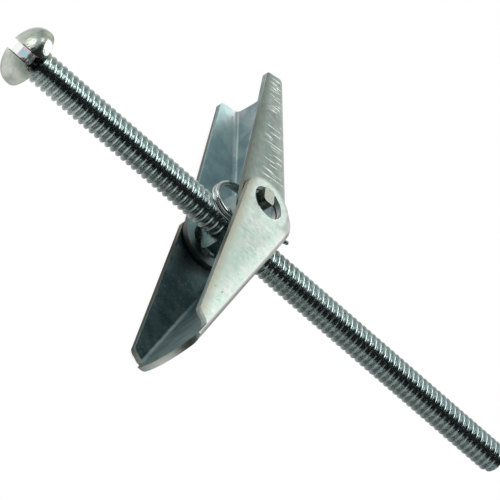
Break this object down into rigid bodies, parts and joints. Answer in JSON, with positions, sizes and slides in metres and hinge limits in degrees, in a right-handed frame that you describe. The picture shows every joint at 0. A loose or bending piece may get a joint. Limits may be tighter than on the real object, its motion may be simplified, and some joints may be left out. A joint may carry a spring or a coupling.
{
  "type": "spring toggle bolt",
  "caption": "Machine screw with a slotted round head, a trunnion nut on its thread and folded sheet wings that a wire spring swings open behind a hollow wall.",
  "frame": {"origin": "centre of the screw head's flat bearing face, on the screw's axis", "axes": "+X along the screw from the head to the tip; +Z along the trunnion axis that both wings turn on, towards the side with the spring's coil; +Y towards the inner wing"},
  "size_m": [0.103, 0.0662, 0.0148],
  "materials": {
    "zinc_screw": "bright zinc plate",
    "zinc_nut": "bright zinc plate",
    "zinc_sheet": "satin zinc plate, lightly scratched",
    "spring_wire": "bright drawn wire"
  },
  "bodies": {
    "screw": {"screw": "zinc_screw"},
    "nut": {"trunnion_nut": "zinc_nut", "torsion_spring": "spring_wire"},
    "outer_wing": {"outer_wing": "zinc_sheet"},
    "inner_wing": {"inner_wing": "zinc_sheet"}
  },
  "joints": [
    {"name": "nut_travel", "type": "slide", "parent": "screw", "child": "nut", "axis": [1, 0, 0], "range_m": [-0.002, 0.056]},
    {"name": "inner_wing_fold", "type": "hinge", "parent": "nut", "child": "inner_wing", "pos_m": [0.0396, 0, 0.00103], "axis": [0, 0, 1], "range_deg": [0, 86.5], "stiffness_Nm_per_rad": 0.02, "springref_deg": -28.65, "deforming": ["torsion_spring"]},
    {"name": "outer_wing_fold", "type": "hinge", "parent": "nut", "child": "outer_wing", "pos_m": [0.0396, 0, 0.00103], "axis": [0, 0, -1], "range_deg": [0, 68], "stiffness_Nm_per_rad": 0.02, "springref_deg": -28.65, "deforming": ["torsion_spring"]}
  ]
}
